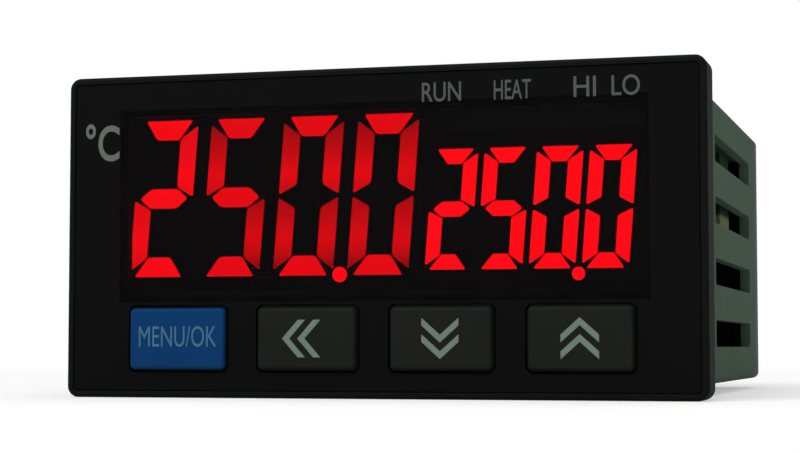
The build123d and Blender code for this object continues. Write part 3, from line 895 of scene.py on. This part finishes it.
@dataclass
class Lettering:
    """A printed word that faces forward, fitted to a box on the front."""

    text: str
    left: float
    right: float
    low: float
    high: float
    face_y: float
    weight: float
    thickness: float = 0.03 * MM
    draft_thickness: float = 0.5
    merge: float = 0.0002
    curve_steps: int = 6

    def build(self, name: str, material: bpy.types.Material, body: str, slot: str) -> None:
        """Makes the word as a thin solid.

        Args:
            name: the piece's name.
            material: the ink.
            body: the body that it rides on.
            slot: the record's slot of what it is printed on; not used.
        """
        curve = bpy.data.curves.new(name, "FONT")
        curve.body = self.text
        curve.extrude = self.draft_thickness
        curve.offset = self.weight
        curve.fill_mode = "BOTH"
        curve.resolution_u = self.curve_steps
        draft = bpy.data.objects.new(name + "_draft", curve)
        bpy.context.scene.collection.objects.link(draft)
        bpy.context.view_layer.update()
        mesh = bpy.data.meshes.new_from_object(draft.evaluated_get(bpy.context.evaluated_depsgraph_get()))
        bpy.data.objects.remove(draft)
        bpy.data.curves.remove(curve)

        def fill(bm: bmesh.types.BMesh) -> None:
            """Stands the word up and fits it to its box.

            Args:
                bm: the mesh that gets the word.
            """
            bm.from_mesh(mesh)
            bmesh.ops.remove_doubles(bm, verts=bm.verts, dist=self.merge)
            bmesh.ops.dissolve_degenerate(bm, edges=bm.edges, dist=self.merge)
            low = Vector(min(vert.co[axis] for vert in bm.verts) for axis in range(3))
            high = Vector(max(vert.co[axis] for vert in bm.verts) for axis in range(3))
            size = high - low
            wanted = Vector((self.right - self.left, self.high - self.low, self.thickness))
            scale = [wanted[axis] / size[axis] for axis in range(3)]
            bmesh.ops.translate(bm, verts=bm.verts, vec=-low)
            bmesh.ops.scale(bm, verts=bm.verts, vec=scale)
            bmesh.ops.rotate(bm, verts=bm.verts, matrix=Matrix.Rotation(math.radians(90), 3, "X"))
            bmesh.ops.translate(bm, verts=bm.verts, vec=(self.left, self.face_y, self.low))

        piece = new_object(name, fill, material)
        bpy.data.meshes.remove(mesh)
        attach(piece, body)
        log.info("%s: %d faces", piece.name, len(piece.data.polygons))


@dataclass
class Chevrons:
    """Two nested chevrons, printed on a key, which point left, down or up."""

    mark: Mark
    centre: Vector
    half_span: float = 2.72 * MM
    rise: float = 2.42 * MM
    stroke: float = 1.10 * MM
    period: float = 2.34 * MM
    thickness: float = 0.03 * MM

    def fill(self, bm: bmesh.types.BMesh) -> None:
        """Draws both chevrons pointing up, gives them their thickness and turns them.

        Args:
            bm: the mesh that gets the shape.
        """
        top = (self.rise + self.stroke + self.period) / 2
        for index in range(2):
            apex = top - index * self.period
            outline = [
                (0.0, apex),
                (self.half_span, apex - self.rise),
                (self.half_span, apex - self.rise - self.stroke),
                (0.0, apex - self.stroke),
                (-self.half_span, apex - self.rise - self.stroke),
                (-self.half_span, apex - self.rise),
            ]
            right = [bm.verts.new((x, 0.0, z)) for x, z in outline[:4]]
            left = [bm.verts.new((x, 0.0, z)) for x, z in outline[4:]]
            bm.faces.new(right)
            bm.faces.new([right[0], right[3], left[0], left[1]])
        solid = bmesh.ops.extrude_face_region(bm, geom=bm.faces[:])["geom"]
        lifted = [item for item in solid if isinstance(item, bmesh.types.BMVert)]
        bmesh.ops.translate(bm, verts=lifted, vec=(0.0, -self.thickness, 0.0))
        bmesh.ops.recalc_face_normals(bm, faces=bm.faces)
        turns = {Mark.UP: 0.0, Mark.DOWN: 180.0, Mark.LEFT: -90.0}
        turn = Matrix.Rotation(math.radians(turns[self.mark]), 3, "Y")
        bmesh.ops.rotate(bm, verts=bm.verts, matrix=turn)
        bmesh.ops.translate(bm, verts=bm.verts, vec=self.centre)


@dataclass
class Keypad:
    """The four keys and their marks."""

    label_left: float = -36.05 * MM
    label_right: float = -23.8 * MM
    label_low: float = -16.5 * MM
    label_high: float = -13.45 * MM
    left_mark_shift: float = -0.65 * MM
    label_text: str = "MENU/OK"
    label_weight: float = 0.0

    def build(self, finishes: dict[str, bpy.types.Material]) -> None:
        """Makes the keys and prints them.

        Args:
            finishes: the materials, by slot or ink name.
        """
        marks = {Key.SHIFT: Mark.LEFT, Key.DOWN: Mark.DOWN, Key.UP: Mark.UP}
        for key in Key:
            cap = Keycap(key)
            slot = "key_blue" if key is Key.SET else "key_grey"
            cap.build(finishes[slot], slot)
            body = "key_" + key.value
            if key is Key.SET:
                word = Lettering(
                    self.label_text, self.label_left, self.label_right, self.label_low, self.label_high,
                    cap.low.y, weight=self.label_weight,
                )
                word.build("set_key_legend", finishes["ink_blue"], body, slot)
                continue
            shift = self.left_mark_shift if marks[key] is Mark.LEFT else 0.0
            centre = Vector((cap.middle.x + shift, cap.low.y, cap.middle.z))
            chevrons = Chevrons(marks[key], centre)
            piece = new_object(key.value + "_key_mark", chevrons.fill, finishes["ink_key"])
            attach(piece, body)
            log.info("%s: %d faces", piece.name, len(piece.data.polygons))


@dataclass(frozen=True)
class Word:
    """One word on the front: its piece, its letters, its box in millimetres, its weight and its ink."""

    name: str
    text: str
    left: float
    right: float
    low: float
    high: float
    weight: float
    ink: str


@dataclass
class FrontLegends:
    """The words printed on the front panel."""

    face_y: float = -6.4 * MM
    words: tuple[Word, ...] = (
        Word("unit_legend", "°C", -45.3, -39.8, 11.3, 17.0, 0.016, "ink_large"),
        Word("run_legend", "RUN", 7.2, 13.0, 18.6, 21.4, 0.006, "ink_small"),
        Word("heat_legend", "HEAT", 17.8, 23.2, 18.6, 21.4, 0.006, "ink_small"),
        Word("high_legend", "HI", 29.3, 32.5, 18.6, 21.5, 0.006, "ink_small"),
        Word("low_legend", "LO", 34.7, 38.7, 18.6, 21.5, 0.006, "ink_small"),
    )

    def build(self, finishes: dict[str, bpy.types.Material]) -> None:
        """Prints the words.

        Args:
            finishes: the materials, by slot or ink name.
        """
        for word in self.words:
            sides = [side * MM for side in (word.left, word.right, word.low, word.high)]
            lettering = Lettering(word.text, *sides, self.face_y, word.weight)
            lettering.build(word.name, finishes[word.ink], CONTROLLER, "panel_print")


@dataclass
class TerminalScrews:
    """The cross-slotted screws in the terminal block."""

    head_radius: float = 2.8 * MM
    head_height: float = 2.0 * MM
    shank_radius: float = 1.5 * MM
    seat_y: float = 95.0 * MM
    shank_length: float = 4.5 * MM
    row_z: float = 12.9 * MM
    pitch: float = 8.2 * MM
    columns: int = 10
    slot_half_width: float = 0.42 * MM
    slot_half_length: float = 1.6 * MM
    slot_depth: float = 1.1 * MM
    slot_taper: float = 0.7
    crown_share: float = 0.86
    shoulder_share: float = 0.96
    shoulder_drop: float = 0.22 * MM
    edge_drop: float = 0.6 * MM
    sides: int = 32
    seed: int = 7

    def add_recess(self, bm: bmesh.types.BMesh) -> list[bmesh.types.BMEdge]:
        """Adds the flat top of a head, with its cross recess.

        Args:
            bm: the mesh that gets it.

        Returns:
            The ring of edges round the flat top.
        """
        wide, long = self.slot_half_width, self.slot_half_length
        corners = [Vector((wide, long)), Vector((wide, wide)), Vector((long, wide))]
        turns = [Matrix.Rotation(-quarter * math.pi / 2, 2) for quarter in range(4)]
        rim = [bm.verts.new((*(turn @ corner), 0.0)) for turn in turns for corner in corners]
        cross = [bm.edges.new((rim[index - 1], rim[index])) for index in range(len(rim))]
        top = self.ring(bm, self.head_radius * self.crown_share, 0.0)
        bmesh.ops.bridge_loops(bm, edges=cross + top)
        walls = bmesh.ops.extrude_edge_only(bm, edges=cross)["geom"]
        low = {item for item in walls if isinstance(item, bmesh.types.BMVert)}
        bmesh.ops.translate(bm, verts=list(low), vec=(0.0, 0.0, -self.slot_depth))
        bmesh.ops.scale(bm, verts=list(low), vec=(self.slot_taper, self.slot_taper, 1.0))
        edges = [item for item in walls if isinstance(item, bmesh.types.BMEdge)]
        bmesh.ops.edgeloop_fill(bm, edges=[edge for edge in edges if low.issuperset(edge.verts)])
        return top

    def add_screw(self, bm: bmesh.types.BMesh, x: float, z: float, turn: float) -> None:
        """Adds one screw: a domed head with a cross recess, and its shank.

        Args:
            bm: the mesh that gets it.
            x: its place along the row.
            z: its row.
            turn: how far it is turned, in radians.
        """
        start = set(bm.verts)
        last = self.add_recess(bm)
        profile = (
            (self.head_radius * self.shoulder_share, -self.shoulder_drop),
            (self.head_radius, -self.edge_drop),
            (self.head_radius, -self.head_height),
            (self.shank_radius, -self.head_height),
            (self.shank_radius, -self.head_height - self.shank_length),
        )
        for radius, depth in profile:
            ring = self.ring(bm, radius, depth)
            bmesh.ops.bridge_loops(bm, edges=last + ring)
            last = ring
        bmesh.ops.edgeloop_fill(bm, edges=last)
        new = [vert for vert in bm.verts if vert not in start]
        bmesh.ops.rotate(bm, verts=new, matrix=Matrix.Rotation(turn, 3, "Z"))
        bmesh.ops.rotate(bm, verts=new, matrix=Matrix.Rotation(math.radians(-90), 3, "X"))
        bmesh.ops.translate(bm, verts=new, vec=(x, self.seat_y + self.head_height, z))

    def ring(self, bm: bmesh.types.BMesh, radius: float, height: float) -> list[bmesh.types.BMEdge]:
        """Adds a level ring of edges.

        Args:
            bm: the mesh that gets it.
            radius: its radius.
            height: its height over the top of the head.

        Returns:
            The edges.
        """
        place = Matrix.Translation((0.0, 0.0, height))
        made = bmesh.ops.create_circle(bm, cap_ends=False, radius=radius, segments=self.sides, matrix=place)
        return list(dict.fromkeys(edge for vert in made["verts"] for edge in vert.link_edges))

    def fill(self, bm: bmesh.types.BMesh) -> None:
        """Adds every screw, each turned its own way.

        Args:
            bm: the mesh that gets them.
        """
        draws = random.Random(self.seed)
        for column in range(self.columns):
            for away in (-1, 1):
                x = (column - (self.columns - 1) / 2) * self.pitch
                self.add_screw(bm, x, away * self.row_z, draws.uniform(0.0, math.pi / 2))
        bmesh.ops.recalc_face_normals(bm, faces=bm.faces)

    def build(self, material: bpy.types.Material) -> None:
        """Makes the screws as one piece, which stands for their node.

        Args:
            material: their finish.
        """
        piece = new_object("terminal_screw_set", self.fill, material)
        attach(piece, CONTROLLER)
        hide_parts("terminal_screws")
        log.info("%s: %d faces", piece.name, len(piece.data.polygons))


@dataclass(frozen=True)
class Lamp:
    """One soft square lamp: its place, the length of its side and its power in watts."""

    name: str
    place: Triple
    size: float
    power: float


@dataclass
class Studio:
    """The camera, the floor, the lamps and the surroundings."""

    eye: Vector = Vector((80.6, -277.9, -16.5)) * MM
    yaw: float = 15.77
    pitch: float = 3.5
    focal_pixels: float = 1967.5
    image_width: float = 800.0
    sensor: float = 36.0
    floor_z: float = -24.02 * MM
    floor_size: float = 12.0
    near: float = 0.16
    far: float = 0.5
    near_glow: float = 0.42
    paper_dark: Colour = (0.82, 0.82, 0.82)
    paper_light: Colour = (0.86, 0.86, 0.86)
    paper_grain: float = 3 * MM
    paper_detail: float = 3.0
    ambient: float = 0.34
    aim: Vector = Vector((0.0, 30.0, 0.0)) * MM
    lamps: tuple[Lamp, ...] = (
        Lamp("key_lamp", (-0.25, -0.8, 1.0), 0.9, 13.5),
        Lamp("fill_lamp", (1.1, -0.35, 0.45), 0.9, 3.0),
        Lamp("top_lamp", (0.1, 0.45, 1.2), 1.0, 6.0),
    )

    def build(self) -> None:
        """Makes everything round the object."""
        self.add_camera()
        self.add_floor()
        for lamp in self.lamps:
            self.add_lamp(lamp)
        self.set_world()

    def add_camera(self) -> None:
        """Places the camera where the photograph was taken from."""
        camera = bpy.data.cameras.new("camera")
        camera.sensor_width = self.sensor
        camera.lens = self.focal_pixels / self.image_width * self.sensor
        camera.clip_start = 0.01
        eye = bpy.data.objects.new("camera", camera)
        bpy.context.scene.collection.objects.link(eye)
        eye.location = self.eye
        eye.rotation_euler = Euler((math.radians(90 + self.pitch), 0.0, math.radians(self.yaw)), "XYZ")
        bpy.context.scene.camera = eye

    def add_floor(self) -> None:
        """Lays the pale floor, which keeps a soft shadow near the object."""
        graph = Graph.named("floor_paper")
        x, y, _ = graph.axes()
        reach = (x * x + y * y).root()
        grain = graph.noise(self.paper_grain, self.paper_detail)
        inputs = {
            "Base Color": graph.mix(grain, self.paper_dark, self.paper_light),
            "Roughness": 1.0,
            "Specular IOR Level": 0.0,
        }
        paper = graph.add("ShaderNodeBsdfPrincipled", None, inputs)
        white = graph.add("ShaderNodeEmission", None, {"Color": WHITE, "Strength": 1.0})
        glow = self.near_glow + reach.ramp(self.near, self.far) * (1 - self.near_glow)
        shaders = {0: graph.seen() * glow, 1: paper.outputs[0], 2: white.outputs[0]}
        material = graph.surface(graph.add("ShaderNodeMixShader", None, shaders).outputs[0])

        def fill(bm: bmesh.types.BMesh) -> None:
            """Lays one square."""
            place = Matrix.Translation((0.0, 0.0, self.floor_z))
            bmesh.ops.create_grid(bm, x_segments=1, y_segments=1, size=self.floor_size / 2, matrix=place)

        new_object("floor", fill, material)

    def add_lamp(self, lamp: Lamp) -> None:
        """Hangs one lamp, turned toward the object.

        Args:
            lamp: its name, place, size and power.
        """
        data = bpy.data.lights.new(lamp.name, "AREA")
        data.shape = "SQUARE"
        data.size = lamp.size
        data.energy = lamp.power
        light = bpy.data.objects.new(lamp.name, data)
        bpy.context.scene.collection.objects.link(light)
        light.location = lamp.place
        light.rotation_euler = (self.aim - Vector(lamp.place)).to_track_quat("-Z", "Y").to_euler()

    def set_world(self) -> None:
        """Sets soft light from all round, and white where the camera, a gloss or a clear piece sees past."""
        world = bpy.data.worlds.new("surroundings")
        bpy.context.scene.world = world
        graph = Graph(world)
        soft = graph.add("ShaderNodeBackground", None, {"Color": WHITE, "Strength": self.ambient})
        white = graph.add("ShaderNodeBackground", None, {"Color": WHITE, "Strength": 1.0})
        shaders = {0: graph.seen(), 1: soft.outputs[0], 2: white.outputs[0]}
        mixed = graph.add("ShaderNodeMixShader", None, shaders)
        graph.add("ShaderNodeOutputWorld", None, {"Surface": mixed.outputs[0]})


# The dark skirt round each key, and painted shade on the upper part of the film capacitor, where the case
# top keeps the light off it.
KEY_SKIRT = Tone((0.0028, 0.0028, 0.0029), axis=1, start=-6.45 * MM, end=-6.40 * MM)
CAPACITOR_PAINTED_SHADE = Tone((0.017, 0.023, 0.010), axis=2, start=5.6 * MM, end=6.6 * MM)


@dataclass
class Finishes:
    """Every finish of the object, by the record's slot or by the name of an ink."""

    rows: tuple[DigitRow, ...] = (
        DigitRow(
            Display.LARGE, pitch=11.5 * MM, width=9.3 * MM, height=23.6 * MM, side=2.65 * MM, bar=2.95 * MM,
            first_digit_fade=0.5, bar_level=0.70,
            levels=(
                (0.05, 0.17), (0.17, 0.53), (0.25, 0.62), (0.36, 0.46), (0.47, 0.33),
                (0.53, 0.50), (0.64, 0.70), (0.80, 0.44), (0.95, 0.26),
            ),
        ),
        DigitRow(
            Display.SMALL, pitch=7.7 * MM, width=6.75 * MM, height=17.5 * MM, side=2.1 * MM, bar=2.2 * MM,
            first_digit_fade=1.0, bar_level=0.97,
            levels=((0.04, 0.85), (0.3, 1.0), (0.7, 1.0), (0.95, 0.88)),
        ),
    )

    mouldings: tuple[Moulding, ...] = (
        Moulding("bezel_black", (0.0048, 0.0064, 0.0053), roughness=0.68, specular=0.02, mottle=0.1),
        Moulding("panel_print", (0.0027, 0.0027, 0.0028), roughness=0.62, specular=0.03,
                 grain_size=0.2 * MM, mottle=0.08),
        Moulding("gasket_rubber", (0.008, 0.008, 0.008), roughness=0.8, specular=0.15),
        Moulding("case_plastic", (0.062, 0.091, 0.067), roughness=0.78, specular=0.005,
                 grain_size=0.5 * MM, grain_strength=0.6),
        Moulding("terminal_plastic", (0.012, 0.013, 0.012), roughness=0.6, specular=0.15),
        Moulding("key_blue", (0.0016, 0.033, 0.115), roughness=0.58, specular=0.05, mottle=0.06,
                 tone=KEY_SKIRT),
        Moulding("key_grey", (0.0074, 0.0086, 0.0076), roughness=0.58, specular=0.06, mottle=0.08,
                 tone=KEY_SKIRT),
        Moulding("switch_plastic", (0.015, 0.015, 0.016), roughness=0.4),
        Moulding("plunger_plastic", (0.5, 0.48, 0.42), roughness=0.5),
        Moulding("display_black", (0.0012, 0.0010, 0.0011), roughness=0.9, specular=0.01, mottle=0.15),
        Moulding("segment_unlit", (0.0022, 0.0008, 0.0009), roughness=0.7, specular=0.02),
        Moulding("led_body", (0.65, 0.62, 0.52), roughness=0.35),
        Moulding("guide_clear", (0.020, 0.021, 0.022), roughness=0.3, specular=0.1, mottle=0.03),
        Moulding("chip_black", (0.015, 0.015, 0.016), roughness=0.55, grain_size=0.2 * MM),
        Moulding("connector_black", (0.018, 0.018, 0.02), roughness=0.35),
        Moulding("ferrite", (0.022, 0.022, 0.024), roughness=0.5, mottle=0.25, mottle_size=2 * MM),
        Moulding("coil_tape", (0.46, 0.40, 0.05), roughness=0.28, specular=0.5, mottle_size=4 * MM),
        Moulding("relay_shell", (0.012, 0.012, 0.014), roughness=0.35),
        Moulding("can_sleeve", (0.012, 0.012, 0.022), roughness=0.3, specular=0.5),
        # The film capacitor's upper part is darkened by painted shade, standing in for the case top's
        # shadow.
        Moulding("film_box", (0.125, 0.180, 0.080), roughness=0.8, specular=0.02, tone=CAPACITOR_PAINTED_SHADE),
        Moulding("varistor_coat", (0.02, 0.08, 0.26), roughness=0.3, specular=0.5),
    )
    metals: tuple[PlatedMetal, ...] = (
        PlatedMetal("screw_steel", (0.62, 0.61, 0.58)),
        PlatedMetal("clamp_metal", (0.66, 0.60, 0.44), roughness=0.26),
        PlatedMetal("crystal_can", (0.66, 0.66, 0.66), roughness=0.22),
    )
    others: tuple[Laminate | SmokedFilter | Ink, ...] = (
        Laminate("board_laminate", (0.006, 0.045, 0.018), (0.012, 0.085, 0.03)),
        SmokedFilter(),
        Ink("ink_large", (0.090, 0.116, 0.094)),
        Ink("ink_small", (0.058, 0.066, 0.061)),
        Ink("ink_key", (0.124, 0.172, 0.148)),
        Ink("ink_blue", (0.041, 0.122, 0.19)),
    )

    def build(self) -> dict[str, bpy.types.Material]:
        """Makes every material.

        Returns:
            The materials, by slot or ink name.
        """
        found = {finish.name: finish.material() for finish in self.mouldings + self.metals + self.others}
        for row in self.rows:
            found[row.display.value + "_lit"] = LitEpoxy(row).material()
        return found


@dataclass
class Controller:
    """The whole object: what is rebuilt here, and the finish of each node that stays."""

    softened: tuple[SoftenedNode, ...] = (
        SoftenedNode("rear_case", "case_plastic", 0.2 * MM),
        SoftenedNode("front_bezel", "bezel_black", 0.08 * MM),
        SoftenedNode("terminal_block", "terminal_plastic", 0.15 * MM),
        SoftenedNode("terminal_clamps", "clamp_metal", 0.1 * MM),
        SoftenedNode("transformer_core", "ferrite", 0.2 * MM),
        SoftenedNode("film_capacitor", "film_box", 0.3 * MM),
        SoftenedNode("relays", "relay_shell", 0.2 * MM),
    )
    tips_and_corners: tuple[tuple[Display, float, float], ...] = (
        (Display.LARGE, 0.32 * MM, 0.50 * MM),
        (Display.SMALL, 0.36 * MM, 0.75 * MM),
    )

    def dress_nodes(self, finishes: dict[str, bpy.types.Material]) -> None:
        """Gives every node the finish of its slot.

        Args:
            finishes: the materials, by slot or ink name.
        """
        for part in frame["record"]["subparts"]:
            name = part["node"]
            slot = part["material_slot"]
            key = name[:2] + "_lit" if slot == "segment_lit" else slot
            for place in frame["nodes"][name].material_slots:
                place.material = finishes[key]

    def build(self, finishes: dict[str, bpy.types.Material]) -> None:
        """Makes the pieces in order.

        Args:
            finishes: the materials, by slot or ink name.
        """
        self.dress_nodes(finishes)
        for node in self.softened:
            node.build(finishes[node.slot])
        for display, tip, corner in self.tips_and_corners:
            name = display.value
            lit = Segments(name + "_lit_segments", "segment_lit", tip, corner)
            lit.build(finishes[name + "_lit"])
            unlit = Segments(
                name + "_unlit_segments", "segment_unlit", tip, corner, mitre_growth=0.0, lift=0.0,
            )
            unlit.build(finishes["segment_unlit"])
        Keypad().build(finishes)
        FrontLegends().build(finishes)
        TerminalScrews().build(finishes["screw_steel"])


def main() -> None:
    """Builds the scene."""
    logging.basicConfig(level=logging.INFO, format="%(message)s")
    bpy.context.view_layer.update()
    bpy.context.scene.view_settings.view_transform = "Standard"
    Studio().build()
    Controller().build(Finishes().build())


if __name__ == "__main__":
    main()
